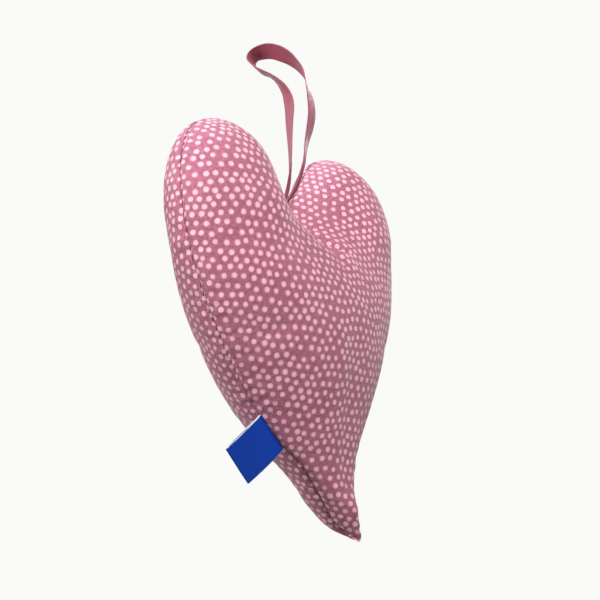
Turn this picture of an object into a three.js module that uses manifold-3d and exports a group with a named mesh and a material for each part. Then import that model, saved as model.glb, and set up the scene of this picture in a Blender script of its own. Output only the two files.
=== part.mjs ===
// A sewn cotton heart filled with lavender, with a ribbon loop caught in its cleft and a folded
// label caught in its side seam. Millimetres, Z up, X across the heart, and the front faces -Y.
// The heart is drawn with the tip of its seam at the origin. At the end the whole sachet is
// moved, so that the origin is the seat inside the ribbon loop, where a hook carries it.

import * as THREE from 'three';
import { mergeVertices } from 'three/addons/utils/BufferGeometryUtils.js';
import Module from 'manifold-3d';

const wasm = await Module();
wasm.setup();

// Heart outline, along the sewing line
const heartHeight = 139;
const heartHalfWidth = 56.7;
const widestHeight = 110.5;
const lobeTopOffset = 33;
const cleftHeight = 112;
const cleftHandle = 3.5;
const innerLobeHandle = 17;
const outerLobeHandle = 6;
const shoulderHandle = 23;
const flankHandle = 49.5;
const tipHandleAcross = 6.5;
const tipHandleUp = 27;

// The tip is swept to one side and nods forwards
const tipSweep = 7.3;
const sweepStart = 36;
const tipNod = 10.6;
const nodStart = 55;

// Crown of each panel above the seam, and the centres that the ribs rise to
const bodyCrown = 24.8;
const lobeCrown = 19.3;
const bodyCentreHeight = 82.5;
const lobeCentreOffset = 27;
const lobeCentreHeight = 100;
const tipCentreHeight = 7;
const cleftPull = 26;

// Cotton panels and their seam
const clothThickness = 0.4;
const seamAllowance = 6;
const clearance = 0.3;
const threadDiameter = 0.4;
const threadInset = 1.5;

// Satin ribbon, folded lengthwise where the cleft holds it
const ribbonWidth = 6;
const ribbonThickness = 0.3;
const ribbonPivotRise = 3;
const ribbonTailDepth = 6;
const ribbonUnfoldRise = 14;
const ribbonStrandGap = 0.1;
const ribbonSeamEase = 2.5;

// Woven label, folded in half across its length
const labelWidth = 14;
const labelLength = 15.5;
const labelLayer = 0.25;
const labelSlit = 0.2;
const labelPivotRise = 1.2;
const labelTailDepth = 5;
const labelSeamEase = 8;

// How far the label leans to the back, in degrees
const labelLean = 22;

// How far along its curve each rib starts, closer together where the outline bends most
const innerLobeShares = [0, 0.03, 0.07, 0.12, 0.18, 0.26, 0.36, 0.47, 0.59, 0.72, 0.86, 1];
const outerLobeShares = [0.16, 0.33, 0.5, 0.67, 0.83, 1];
const flankShares = [0.06, 0.12, 0.18, 0.24, 0.3, 0.365, 0.435, 0.51, 0.585, 0.66, 0.735, 0.81, 0.9, 1];
const branchSteps = 6;
const bodySteps = 8;
const crownSteps = 8;

// Fullness of the stuffing: 1 is an ellipse, more is a valley, and the taper thins the tip
const rimFullness = 1;
const cleftFullness = 2;
const crownTaper = 1.1;
const steepestSlant = 2.5;
const allowanceTrimShare = 0.5;
const labelPlaceShare = 0.605;

// Heights on the right flank between which the turning gap was left open and sewn by hand
const turningGapTop = 88;
const turningGapBottom = 52;

// The loop's middle line as the ribbon stands: forwards, up, and its turn in degrees
const loopRoute = [
  [-0.4, 0, 0],
  [-0.3, 0.9, -2],
  [1, 2.4, -9],
  [2.4, 4.9, -21],
  [4, 9.4, -32],
  [5, 14.3, -39],
  [5.6, 21.2, -48],
  [6.2, 28.1, -58],
  [6.9, 34, -61],
  [6.5, 37.9, -58],
  [5, 41.7, -47],
  [2.1, 45.8, -31],
  [-1, 48.8, -21],
  [-4.1, 51, -18],
  [-6.4, 53.6, -9],
  [-6.9, 55.7, 5],
  [-5.3, 57, 31],
  [-2.4, 57.3, 47],
  [1.2, 56.7, 58],
  [5.2, 54.6, 60],
  [8.9, 51.7, 54],
  [11.8, 48.3, 43],
  [14.1, 44.4, 33],
  [15.3, 39.4, 21],
  [15.8, 34.2, 15],
  [15.6, 29.4, 14],
  [14.3, 24.8, 14],
  [12.7, 20.8, 20],
  [11.4, 16.8, 26],
  [10.4, 13.2, 26],
  [8.7, 9.6, 22],
  [6.4, 5.8, 12],
  [3.6, 2.7, 2],
  [1.3, 1, -2],
  [0.4, 0, 0],
];
const loopSteps = 72;
const hookSeatShare = 0.53;

const ribbonBundle = 4 * ribbonThickness + ribbonStrandGap;
const labelThickness = 2 * labelLayer + labelSlit;
const threadRadius = threadDiameter / 2;
const closedSlit = clearance / 2;

// A point of the flat heart, moved by the sweep and the nod of the tip
function bent(x, y, z) {
  const swept = Math.max(sweepStart - z, 0) / sweepStart;
  const nodded = Math.max(nodStart - z, 0) / nodStart;
  return new THREE.Vector3(x + tipSweep * swept ** 2, y - tipNod * nodded ** 2, z);
}

const cleftPoint = new THREE.Vector2(0, cleftHeight);
const lobeTop = new THREE.Vector2(lobeTopOffset, heartHeight);
const widest = new THREE.Vector2(heartHalfWidth, widestHeight);
const tip = new THREE.Vector2(0, 0);

const innerLobe = new THREE.CubicBezierCurve(
  cleftPoint,
  new THREE.Vector2(cleftHandle, cleftHeight),
  new THREE.Vector2(lobeTopOffset - innerLobeHandle, heartHeight),
  lobeTop,
);
const outerLobe = new THREE.CubicBezierCurve(
  lobeTop,
  new THREE.Vector2(lobeTopOffset + outerLobeHandle, heartHeight),
  new THREE.Vector2(heartHalfWidth, widestHeight + shoulderHandle),
  widest,
);
const flank = new THREE.CubicBezierCurve(
  widest,
  new THREE.Vector2(heartHalfWidth, widestHeight - flankHandle),
  new THREE.Vector2(tipHandleAcross, tipHandleUp),
  tip,
);

// The middle of the label on the seam, which is on the left flank
const labelOnFlank = flank.getPoint(labelPlaceShare);
const labelPlace = new THREE.Vector2(-labelOnFlank.x, labelOnFlank.y);

// Half the space between the two panels' allowances: wider where the seam holds something
function slitAt(seamPoint) {
  const held = [
    [cleftPoint, ribbonWidth / 4, ribbonSeamEase, ribbonBundle / 2 + clearance],
    [labelPlace, labelWidth / 2, labelSeamEase, labelThickness / 2 + 2 * clearance],
  ];
  let slit = closedSlit;
  for (const [place, halfWidth, ease, opened] of held) {
    const beyond = seamPoint.distanceTo(place) - halfWidth - ease;
    const share = 1 - THREE.MathUtils.smoothstep(beyond, 0, ease);
    slit = Math.max(slit, closedSlit + (opened - closedSlit) * share);
  }
  return slit;
}

// Ribs of one half, from the cleft round the lobe to the tip. Each runs from the seam to a
// centre line that forks under the cleft and ends in the middle of each lobe.
function halfRibs() {
  const seam = [
    ...innerLobeShares.map((share) => innerLobe.getPoint(share)),
    ...outerLobeShares.map((share) => outerLobe.getPoint(share)),
    ...flankShares.map((share) => flank.getPoint(share)),
  ];
  const fork = new THREE.Vector2(0, bodyCentreHeight);
  const lobeCentre = new THREE.Vector2(lobeCentreOffset, lobeCentreHeight);
  const tipCentre = new THREE.Vector2(0, tipCentreHeight);
  const forkRib = seam.length - 1 - bodySteps;
  const centreRib = seam[forkRib].distanceTo(fork);
  let run = 0;
  return seam.map((point, i) => {
    const fromEnd = seam.length - 1 - i;
    const onBranch = Math.min(i, fromEnd - bodySteps, branchSteps) / branchSteps;
    let centre = tipCentre.clone().lerp(fork, fromEnd / bodySteps);
    let crown = bodyCrown;
    if (fromEnd < bodySteps) {
      const reach = Math.min(point.distanceTo(centre) / centreRib, 1);
      crown *= Math.sin((reach * Math.PI) / 2) ** crownTaper;
    } else {
      centre = fork.clone().lerp(lobeCentre, onBranch);
      crown += ((lobeCrown - bodyCrown) * (1 - Math.cos(onBranch * Math.PI))) / 2;
    }
    run += i > 0 ? point.distanceTo(seam[i - 1]) : 0;
    const pulled = Math.exp(-((run / cleftPull) ** 2));
    return {
      seam: point,
      centre,
      crown: crown + closedSlit,
      fullness: rimFullness + (cleftFullness - rimFullness) * pulled,
    };
  });
}

function mirrored(rib) {
  const flip = (point) => new THREE.Vector2(-point.x, point.y);
  return { ...rib, seam: flip(rib.seam), centre: flip(rib.centre) };
}

const rightRibs = halfRibs();
const leftRibs = rightRibs.slice(1, -1).reverse().map(mirrored);
const ring = [...rightRibs, ...leftRibs];

// A rib meets the seam at a slant, so it needs more than one unit of length to lead one unit
// away from the seam.
function slantOf(rib, i) {
  const inward = rib.centre.clone().sub(rib.seam).normalize();
  const neighbours = [ring.at(i - 1), ring[(i + 1) % ring.length]];
  const sines = neighbours.map(({ seam }) => {
    return Math.abs(inward.cross(seam.clone().sub(rib.seam).normalize()));
  });
  return Math.min(1 / Math.min(...sines), steepestSlant);
}

const ribs = ring.map((rib, i) => {
  const length = rib.seam.distanceTo(rib.centre);
  const slant = slantOf(rib, i);
  const allowance = Math.min(seamAllowance * slant, allowanceTrimShare * length);
  return { ...rib, length, slant, allowance, slit: slitAt(rib.seam) };
});

// A point of a rib: inwards from the seam, and in front of (-1) or behind (1) its plane
function ribPoint(rib, inwards, away, side) {
  const place = rib.seam.clone().lerp(rib.centre, inwards / rib.length);
  return bent(place.x, side * away, place.y);
}

// The crown of a rib from its start to the centre line, as [inwards, away] points
function crownArc(rib, start, foot, top) {
  const arc = [];
  for (let step = 0; step <= crownSteps; step += 1) {
    const angle = (step / crownSteps) * (Math.PI / 2);
    const inwards = start + (rib.length - start) * (1 - Math.cos(angle));
    arc.push([inwards, foot + (top - foot) * Math.sin(angle) ** rib.fullness]);
  }
  return arc;
}

// Rows of points made one closed body. Each square is split along its shorter diagonal. Points
// that meet are merged, faces that shrink to nothing are dropped, and all are turned outwards.
function closedBody(rows, { ringOfRows, ringOfPoints }) {
  const points = rows.flat();
  const width = rows[0].length;
  const rowCount = ringOfRows ? rows.length : rows.length - 1;
  const pointCount = ringOfPoints ? width : width - 1;
  const faces = [];
  for (let row = 0; row < rowCount; row += 1) {
    const nextRow = (row + 1) % rows.length;
    for (let point = 0; point < pointCount; point += 1) {
      const nextPoint = (point + 1) % width;
      const [a, b, c, d] = [
        row * width + point,
        nextRow * width + point,
        nextRow * width + nextPoint,
        row * width + nextPoint,
      ];
      if (points[a].distanceTo(points[c]) < points[b].distanceTo(points[d])) {
        faces.push([a, b, c], [a, c, d]);
      } else {
        faces.push([a, b, d], [b, c, d]);
      }
    }
  }
  if (!ringOfRows) {
    const last = (rows.length - 1) * width;
    for (let point = 1; point < width - 1; point += 1) {
      faces.push([0, point, point + 1], [last, last + point + 1, last + point]);
    }
  }
  return outwardGeometry(points, faces);
}

function outwardGeometry(points, faces) {
  const loose = new THREE.BufferGeometry().setFromPoints(points);
  loose.setIndex(faces.flat());
  const merged = mergeVertices(loose);
  const index = Array.from(merged.index.array);
  const place = merged.attributes.position;
  const kept = [];
  let volume = 0;
  const corners = [new THREE.Vector3(), new THREE.Vector3(), new THREE.Vector3()];
  for (let start = 0; start < index.length; start += 3) {
    const face = index.slice(start, start + 3);
    if (new Set(face).size < 3) {
      continue;
    }
    kept.push(face);
    face.forEach((vertex, corner) => corners[corner].fromBufferAttribute(place, vertex));
    volume += corners[0].dot(corners[1].clone().cross(corners[2]));
  }
  const outward = volume > 0 ? kept : kept.map(([a, b, c]) => [a, c, b]);
  const body = new THREE.BufferGeometry();
  body.setAttribute('position', place);
  body.setIndex(outward.flat());
  body.computeVertexNormals();
  return body;
}

// A panel: the crowned cloth, folded back at the seam into its allowance. Its section is
// drawn from the centre line down the outside, round the allowance and up the inside.
function panelGeometry(side) {
  const rows = ribs.map((rib) => {
    const innerFoot = rib.slit + clothThickness;
    const section = [
      ...crownArc(rib, 0, rib.slit, rib.crown).reverse(),
      [rib.allowance, rib.slit],
      [rib.allowance, innerFoot],
      ...crownArc(rib, clothThickness * rib.slant, innerFoot, rib.crown - clothThickness),
    ];
    return section.map(([inwards, away]) => ribPoint(rib, inwards, away, side));
  });
  return closedBody(rows, { ringOfRows: true, ringOfPoints: false });
}

// The filling: what the panels leave inside them, with a groove that takes both allowances
// and the threads along the sewing line
function fillingGeometry() {
  const start = threadInset + threadRadius + clearance;
  const rows = ribs.map((rib) => {
    const foot = rib.slit + clothThickness + clearance;
    const top = rib.crown - clothThickness - clearance;
    const floor = rib.allowance + clearance * rib.slant;
    const half = [...crownArc(rib, start * rib.slant, foot, top).reverse(), [floor, foot]];
    const front = half.map(([inwards, away]) => ribPoint(rib, inwards, away, -1));
    const back = half.map(([inwards, away]) => ribPoint(rib, inwards, away, 1));
    return [...front, ...back.reverse()];
  });
  return closedBody(rows, { ringOfRows: true, ringOfPoints: false });
}

// A thread in the fold between a panel and its allowance, along the ribs from first to last
function threadGeometry(first, last, side) {
  const sides = 6;
  const rows = [];
  for (let count = first; count <= last; count += 1) {
    const rib = ribs[count % ribs.length];
    const away = rib.slit + clothThickness + clearance + threadRadius;
    const row = [];
    for (let corner = 0; corner < sides; corner += 1) {
      const angle = (corner / sides) * 2 * Math.PI;
      const inwards = (threadInset + threadRadius * Math.cos(angle)) * rib.slant;
      row.push(ribPoint(rib, inwards, away + threadRadius * Math.sin(angle), side));
    }
    rows.push(row);
  }
  return closedBody(rows, { ringOfRows: false, ringOfPoints: true });
}

// The hinge line of the loop, where the ribbon leaves the cleft, and the plane it opens in
const loopPivot = new THREE.Vector3(0, 0, cleftHeight + ribbonPivotRise);
const loopForwards = new THREE.Vector3(0, -1, 0);
const loopUp = new THREE.Vector3(0, 0, 1);
const loopFacing = loopForwards.clone().cross(loopUp);

// The ribbon's middle line and its edge direction, smoothed through the route's points
function loopStations() {
  const line = new THREE.CatmullRomCurve3(
    loopRoute.map(([forwards, up, turn]) => new THREE.Vector3(forwards, up, turn)),
    false,
    'catmullrom',
  );
  const middles = [];
  for (let step = 0; step <= loopSteps; step += 1) {
    middles.push(line.getPoint(step / loopSteps));
  }
  return middles.map((middle, step) => {
    const before = middles[Math.max(step - 1, 0)];
    const after = middles[Math.min(step + 1, loopSteps)];
    const ahead = new THREE.Vector2(after.x - before.x, after.y - before.y).normalize();
    const outward = loopForwards.clone().multiplyScalar(-ahead.y).addScaledVector(loopUp, ahead.x);
    const turn = THREE.MathUtils.degToRad(middle.z);
    const edge = loopFacing.clone().multiplyScalar(Math.cos(turn));
    edge.addScaledVector(outward, Math.sin(turn));
    const along = loopForwards.clone().multiplyScalar(ahead.x).addScaledVector(loopUp, ahead.y);
    const unfolded = THREE.MathUtils.smoothstep(middle.y, 0, ribbonUnfoldRise);
    return {
      middle: loopForwards.clone().multiplyScalar(middle.x).addScaledVector(loopUp, middle.y),
      edge,
      face: along.cross(edge),
      width: (ribbonWidth / 2) * (1 + unfolded),
      thickness: ribbonThickness * (2 - unfolded),
    };
  });
}

function solidOf(geometry) {
  const bare = geometry.clone();
  bare.deleteAttribute('normal');
  bare.deleteAttribute('uv');
  const merged = mergeVertices(bare);
  return new wasm.Manifold(new wasm.Mesh({
    numProp: 3,
    vertProperties: new Float32Array(merged.attributes.position.array),
    triVerts: new Uint32Array(merged.index.array),
  }));
}

function geometryOf(solid) {
  const { vertProperties, triVerts } = solid.getMesh();
  const geometry = new THREE.BufferGeometry();
  geometry.setAttribute('position', new THREE.BufferAttribute(vertProperties, 3));
  geometry.setIndex(new THREE.BufferAttribute(triVerts, 1));
  geometry.computeVertexNormals();
  return geometry;
}

// A round bar on the hinge line, which runs along X through the local origin
function knuckleGeometry(radius, width) {
  const circle = new THREE.Shape().absarc(0, 0, radius, 0, 2 * Math.PI);
  const bar = new THREE.ExtrudeGeometry(circle, { depth: width, bevelEnabled: false, curveSegments: 16 });
  bar.translate(0, 0, -width / 2);
  bar.rotateY(Math.PI / 2);
  return bar;
}

// The loop: one strap from the cleft, over its top and back, whose two ends meet on the hinge
function ribbonLoopGeometry() {
  const rows = loopStations().map(({ middle, edge, face, width, thickness }) => {
    const corner = (across, through) => middle
      .clone()
      .addScaledVector(edge, (across * width) / 2)
      .addScaledVector(face, (through * thickness) / 2);
    return [corner(-1, -1), corner(1, -1), corner(1, 1), corner(-1, 1)];
  });
  const strap = solidOf(closedBody(rows, { ringOfRows: false, ringOfPoints: true }));
  const knuckle = solidOf(knuckleGeometry(ribbonBundle / 2, ribbonWidth / 2));
  return geometryOf(strap.add(knuckle));
}

// Sewn-in ends: a flat bundle that stops below its hinge in a hollow seat for the knuckle
function tailShape(halfThickness, reach) {
  const seat = halfThickness + clearance;
  const lip = Math.acos(halfThickness / seat);
  const shape = new THREE.Shape();
  shape.moveTo(seat * Math.cos(-lip), -reach);
  shape.absarc(0, 0, seat, -lip, -Math.PI + lip, true);
  shape.lineTo(-halfThickness, -reach);
  shape.closePath();
  return shape;
}

function tailGeometry(halfThickness, reach, width) {
  const tail = new THREE.ExtrudeGeometry(tailShape(halfThickness, reach), {
    depth: width,
    bevelEnabled: false,
    curveSegments: 12,
  });
  tail.translate(0, 0, -width / 2);
  return tail;
}

// The label outside the seam: two layers with a slit between them, joined by the outer fold,
// and a rounded root on its hinge line
function labelFlapGeometry() {
  const half = labelThickness / 2;
  const fold = labelLength - half;
  const shape = new THREE.Shape();
  shape.moveTo(half, 0);
  shape.lineTo(half, fold);
  shape.absarc(0, fold, half, 0, Math.PI, false);
  shape.lineTo(-half, 0);
  shape.absarc(0, 0, half, Math.PI, 2 * Math.PI, false);
  const slit = new THREE.Path();
  slit.moveTo(labelSlit / 2, half);
  slit.lineTo(-labelSlit / 2, half);
  slit.lineTo(-labelSlit / 2, fold);
  slit.lineTo(labelSlit / 2, fold);
  slit.closePath();
  shape.holes.push(slit);
  const flap = new THREE.ExtrudeGeometry(shape, { depth: labelWidth, bevelEnabled: false, curveSegments: 8 });
  flap.translate(0, 0, -labelWidth / 2);
  return flap;
}

// Axes of the label on the bent seam: along the seam, out of the heart, and to the back
function labelAxes() {
  const tangent = flank.getTangent(labelPlaceShare);
  const along = new THREE.Vector2(-tangent.x, tangent.y);
  const inward = new THREE.Vector2(-along.y, along.x);
  const at = (alongBy, inwardBy) => {
    const point = labelPlace.clone().addScaledVector(along, alongBy).addScaledVector(inward, inwardBy);
    return bent(point.x, 0, point.y);
  };
  const origin = at(0, 0);
  const depth = at(-labelWidth / 2, 0).sub(at(labelWidth / 2, 0)).normalize();
  const outward = origin.clone().sub(at(0, labelTailDepth));
  outward.addScaledVector(depth, -outward.dot(depth)).normalize();
  return { origin, depth, outward, back: outward.clone().cross(depth) };
}

function clothMaterial(color, roughness) {
  return new THREE.MeshStandardMaterial({ color, roughness, metalness: 0 });
}

function piece(name, geometry, material) {
  const mesh = new THREE.Mesh(geometry, material);
  mesh.name = name;
  return mesh;
}

const cotton = 0xa5617f;
const lavenderBuds = 0x7d6f8f;
const sewingThread = 0x7b3f58;
const satin = 0x9b4c60;
const labelBlue = 0x0a3d9c;

const sachet = new THREE.Group();

// The two cotton panels and what they hold
sachet.add(piece('front_panel', panelGeometry(-1), clothMaterial(cotton, 0.9)));
sachet.add(piece('back_panel', panelGeometry(1), clothMaterial(cotton, 0.9)));
sachet.add(piece('lavender_filling', fillingGeometry(), clothMaterial(lavenderBuds, 1)));

// The machine seam, all round but for the turning gap, and the gap's own hand stitching
const gapFirst = rightRibs.findIndex(({ seam }) => seam.y < turningGapTop);
const gapLast = rightRibs.findLastIndex(({ seam }) => seam.y > turningGapBottom);
const wholeSeam = ribs.length + gapFirst - 1;
const threadFinish = clothMaterial(sewingThread, 0.6);
sachet.add(piece('needle_thread', threadGeometry(gapLast + 1, wholeSeam, -1), threadFinish));
sachet.add(piece('bobbin_thread', threadGeometry(gapLast + 1, wholeSeam, 1), threadFinish.clone()));
sachet.add(piece(
  'closing_thread',
  threadGeometry(gapFirst, gapLast, -1),
  clothMaterial(sewingThread, 0.65),
));

// The ribbon: its sewn-in ends stand in the seam, and the loop swings on the hinge above them
const ribbonTails = piece(
  'ribbon_tails',
  tailGeometry(ribbonBundle / 2, ribbonPivotRise + ribbonTailDepth, ribbonWidth / 2),
  clothMaterial(satin, 0.45),
);
ribbonTails.position.copy(loopPivot);
ribbonTails.quaternion.setFromRotationMatrix(new THREE.Matrix4().makeBasis(
  new THREE.Vector3(0, 1, 0),
  new THREE.Vector3(0, 0, 1),
  new THREE.Vector3(1, 0, 0),
));
sachet.add(ribbonTails);

const ribbonLoop = piece('ribbon_loop', ribbonLoopGeometry(), clothMaterial(satin, 0.4));
ribbonLoop.position.copy(loopPivot);
sachet.add(ribbonLoop);

// The label: tails in the side seam, and the flap leaning back from them
const { origin, depth, outward, back } = labelAxes();
const labelTurn = new THREE.Quaternion().setFromRotationMatrix(
  new THREE.Matrix4().makeBasis(back.clone().negate(), outward, depth.clone().negate()),
);
const labelPivot = origin.clone().addScaledVector(outward, labelPivotRise);

const labelTails = piece(
  'label_tails',
  tailGeometry(labelThickness / 2, labelPivotRise + labelTailDepth, labelWidth),
  clothMaterial(labelBlue, 0.6),
);
labelTails.position.copy(labelPivot);
labelTails.quaternion.copy(labelTurn);
sachet.add(labelTails);

const labelFlap = piece('label_flap', labelFlapGeometry(), clothMaterial(labelBlue, 0.55));
labelFlap.position.copy(labelPivot);
labelFlap.quaternion.copy(labelTurn);
labelFlap.rotateZ(THREE.MathUtils.degToRad(labelLean));
sachet.add(labelFlap);

// The hook's seat: under the middle of the loop's top, at the ribbon's lower edge
const hookStation = Math.round(hookSeatShare * (loopRoute.length - 1));
const [hookForwards, hookUp, hookTurn] = loopRoute[hookStation];
const hookDrop = (ribbonWidth / 2) * Math.sin(THREE.MathUtils.degToRad(hookTurn));
const hookSeat = loopPivot
  .clone()
  .addScaledVector(loopForwards, hookForwards)
  .addScaledVector(loopUp, hookUp - hookDrop);
sachet.position.copy(hookSeat).negate();

export default sachet;
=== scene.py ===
import math

import bmesh
import bpy
import numpy as np
from mathutils import Matrix, Vector
from mathutils.bvhtree import BVHTree
from mathutils.kdtree import KDTree


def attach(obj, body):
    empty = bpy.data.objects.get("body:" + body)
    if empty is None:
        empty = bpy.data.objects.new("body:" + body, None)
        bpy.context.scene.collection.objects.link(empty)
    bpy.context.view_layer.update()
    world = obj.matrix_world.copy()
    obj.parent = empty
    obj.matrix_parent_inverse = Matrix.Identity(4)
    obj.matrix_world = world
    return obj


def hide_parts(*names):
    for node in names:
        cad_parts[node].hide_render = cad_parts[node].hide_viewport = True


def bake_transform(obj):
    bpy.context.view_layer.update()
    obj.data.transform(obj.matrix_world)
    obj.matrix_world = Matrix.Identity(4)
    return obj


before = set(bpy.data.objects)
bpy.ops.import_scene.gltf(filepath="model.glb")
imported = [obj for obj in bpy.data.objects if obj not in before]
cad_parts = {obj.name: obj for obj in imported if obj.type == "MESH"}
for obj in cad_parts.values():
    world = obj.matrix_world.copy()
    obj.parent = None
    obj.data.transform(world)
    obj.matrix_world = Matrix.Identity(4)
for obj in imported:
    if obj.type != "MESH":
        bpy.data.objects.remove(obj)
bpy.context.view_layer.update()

# The view
# The sachet is seen from its left side and a little from below, as it hangs, with a slight lean
# of the camera. Lengths are in millimetres of the heart, whose seam has its tip at zero, and
# every piece is moved at the end to the seat of the hook, under the ribbon's top.

HOOK_SEAT = np.array([0.0, -1.2, 169.156])
MM = 0.001


def placed(points):
    """Points of the heart, in millimetres, as places in the model's frame, in metres."""
    return (np.asarray(points, float) - HOOK_SEAT) * MM


VIEW_AZIMUTH = math.radians(-57.16)
VIEW_HEIGHT = math.radians(-12.16)
VIEW_LEAN = math.radians(-5.85)
VIEW_DISTANCE = 472.0
HEART_MIDDLE = np.array([0, 0, 69.5])
AIM_RIGHT = 1.39
AIM_UP = 12.4
PIXELS_PER_MM = 2.979
FRAME_PIXELS = 600
SENSOR = 36.0

towards = np.array([
    math.sin(VIEW_AZIMUTH) * math.cos(VIEW_HEIGHT),
    -math.cos(VIEW_AZIMUTH) * math.cos(VIEW_HEIGHT),
    math.sin(VIEW_HEIGHT),
])
level = np.array([math.cos(VIEW_AZIMUTH), math.sin(VIEW_AZIMUTH), 0.0])
upright = np.cross(towards, level)
view_right = level * math.cos(VIEW_LEAN) + upright * math.sin(VIEW_LEAN)
view_up = upright * math.cos(VIEW_LEAN) - level * math.sin(VIEW_LEAN)
view_aim = HEART_MIDDLE + AIM_RIGHT * view_right + AIM_UP * view_up
view_place = view_aim + VIEW_DISTANCE * towards

camera = bpy.data.objects.new("camera", bpy.data.cameras.new("camera"))
camera.data.sensor_width = SENSOR
camera.data.lens = SENSOR * PIXELS_PER_MM * VIEW_DISTANCE / FRAME_PIXELS
camera.data.clip_start = 0.01
camera.matrix_world = Matrix([
    [view_right[k], view_up[k], towards[k], placed(view_place)[k]] for k in range(3)
] + [[0, 0, 0, 1]])
bpy.context.scene.collection.objects.link(camera)
bpy.context.scene.camera = camera

# The heart's form
# The heart is two cotton panels sewn together along one line and stuffed hard. Its form is drawn
# as ribs from the sewing line up to a middle line that forks under the cleft, one branch to the
# middle of each lobe. The tip is swept to the right and nods to the front.

CLEFT = (0, 112)
LOBE_TOP = (33, 139)
WIDEST = (56.7, 110.5)
TIP = (0, 0)
INNER_LOBE = (CLEFT, (3.5, 112), (16, 139), LOBE_TOP)
OUTER_LOBE = (LOBE_TOP, (39, 139), (56.7, 133.5), WIDEST)
FLANK = (WIDEST, (56.7, 61), (6.5, 27), TIP)
INNER_SHARES = [0, 0.03, 0.07, 0.12, 0.18, 0.26, 0.36, 0.47, 0.59, 0.72, 0.86, 1]
OUTER_SHARES = [0, 0.16, 0.33, 0.5, 0.67, 0.83, 1]
FLANK_SHARES = [0, 0.06, 0.12, 0.18, 0.24, 0.3, 0.365, 0.435, 0.51, 0.585, 0.66, 0.735, 0.81, 0.9, 1]
LOBE_TOP_RIB = 11
WIDEST_RIB = 17
LAST_RIB = 31
BODY_RIBS = 8
BRANCH_RIBS = 6
FORK = np.array([0, 82.5])
LOBE_MIDDLE = np.array([27, 100])
TIP_MIDDLE = np.array([0, 7])
BODY_CROWN = 24.8
LOBE_CROWN = 19.3
CROWN_TAPER = 1.1
HALF_SLIT = 0.15
CLEFT_PULL = 26.0


def on_bezier(corners, shares):
    a, b, c, d = (np.array(corner, float) for corner in corners)
    s = np.asarray(shares, float)[:, None]
    return (1 - s) ** 3 * a + 3 * (1 - s) ** 2 * s * b + 3 * (1 - s) * s**2 * c + s**3 * d


def sewing_line(rib):
    """The sewing line of the right half, from the cleft at rib 0 to the tip at the last rib."""
    inner = on_bezier(INNER_LOBE, np.interp(rib, range(LOBE_TOP_RIB + 1), INNER_SHARES))
    outer = on_bezier(OUTER_LOBE, np.interp(rib, range(LOBE_TOP_RIB, WIDEST_RIB + 1), OUTER_SHARES))
    flank = on_bezier(FLANK, np.interp(rib, range(WIDEST_RIB, LAST_RIB + 1), FLANK_SHARES))
    on_inner = (rib <= LOBE_TOP_RIB)[:, None]
    on_lobe = (rib <= WIDEST_RIB)[:, None]
    return np.where(on_inner, inner, np.where(on_lobe, outer, flank))


def even_ribs(count):
    """Rib numbers of the right half whose feet are evenly spaced along the sewing line."""
    dense = np.linspace(0, LAST_RIB, 3101)
    steps = np.linalg.norm(np.diff(sewing_line(dense), axis=0), axis=1)
    run = np.concatenate([[0], np.cumsum(steps)])
    return np.interp(np.linspace(0, run[-1], count), run, dense)


def hump(distance, reach):
    """One at no distance, and fading to nothing past the reach."""
    return np.exp(-((distance / reach) ** 2))


def bent(points):
    """Points of the flat heart, moved as its stuffing settled and its tip was swept and nods."""
    x, y, z = np.moveaxis(np.asarray(points, float), -1, 0)
    # the stuffing is packed into the tip and the back, and lies thinner beside the cleft
    tip = hump(z - 12.2, 7.4)
    inner = hump(np.abs(x) - 8, 14)
    outer = hump(np.abs(x) - 44, 14)
    thinner_behind = (0.15 * inner + 0.035 * outer) * hump(z - 117, 18)
    back = 1 + 0.525 * tip + 0.072 * hump(z - 72, 26) - thinner_behind
    thinner_in_front = 0.17 * hump(np.abs(x) - 17, 13) * hump(z - 113, 15)
    front = (1 + 0.203 * tip + 0.24 * hump(z - 8.5, 4.5)) * (1 - thinner_in_front)
    full_lobes = 0.08 * hump(z - 106, 10) * hump(np.abs(x) - 27, 13)
    slack_middle = 0.08 * hump(z - 90, 10) * hump(x, 24)
    even = 1 + full_lobes - slack_middle
    # the seam slides to one side or the other where it nears the tip
    seam_slide = 2.9 * hump(z - 6.5, 5.5) - 2.3 * hump(z - 25, 7.5)
    slid = seam_slide * hump(y, 5.0)
    # the lobes' tops lean back, and the panels are drawn in below the ribbon
    top = np.clip((z - 112) / 27, 0, 1) ** 2
    drawn_in = 2.6 * hump(x, 5.5) * hump(z - 106.5, 7) * np.clip(np.abs(y) / 8, 0, 1)
    drawn_in += 2.6 * hump(x + 2, 8) * hump(z - 103.5, 7) * np.clip(-y / 8, 0, 1)
    y = y * even * np.where(y < 0, front, back) - np.sign(y) * drawn_in
    y = y + 2.2 * top**2 - 0.3 * hump(z - 9.5, 5.5) + slid
    x = x * (1 + 0.04 * tip) + np.sign(x) * 0.84 * top + 0.4 * hump(z - 23, 9)
    # the tip is swept to the right and nods to the front
    swept = np.clip(36.0 - z, 0, None) / 36.0
    nodded = np.clip(55.0 - z, 0, None) / 55.0
    nose = np.clip(10.0 - z, 0, None) / 10.0
    x = x + 8.2 * swept**2 + 1.2 * nose**2
    return np.stack([x, y - 10.0 * nodded**2 - 1.6 * nose**2, z], axis=-1)


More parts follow.
